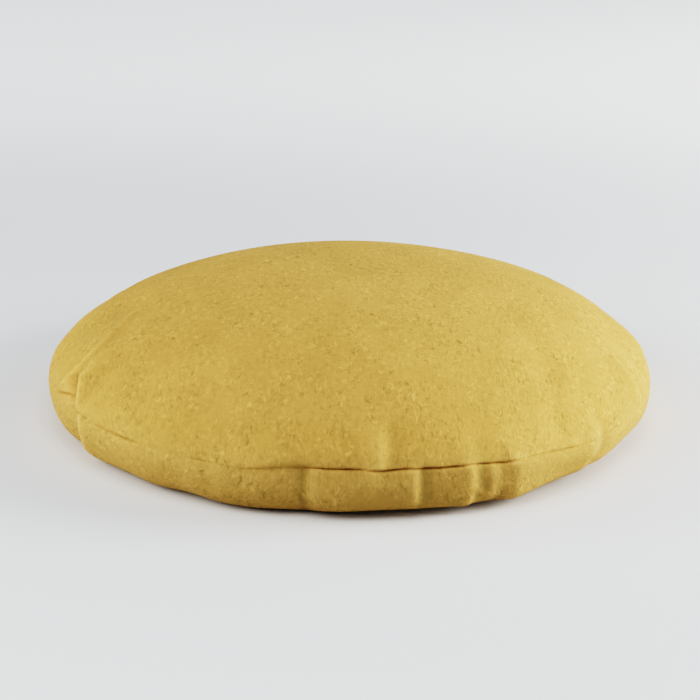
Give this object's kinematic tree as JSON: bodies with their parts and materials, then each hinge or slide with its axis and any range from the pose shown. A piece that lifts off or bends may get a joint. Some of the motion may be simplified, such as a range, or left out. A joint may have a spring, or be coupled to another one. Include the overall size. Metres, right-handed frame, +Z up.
{
  "type": "round floor pouf",
  "caption": "Low round filled floor cushion with a domed top, a sunken rim seam with soft puckers and a flat foot.",
  "frame": {"origin": "middle of the flat foot, on the floor", "axes": "+Z up through the crown, -Y towards the side with the most puckers, +X to the right of someone who faces that side"},
  "size_m": [0.6024, 0.6013, 0.1446],
  "materials": {
    "cover_cloth": "matte brushed cloth with a short nap, mustard yellow"
  },
  "bodies": {
    "root": {"pouf_cushion": "cover_cloth"}
  },
  "joints": []
}
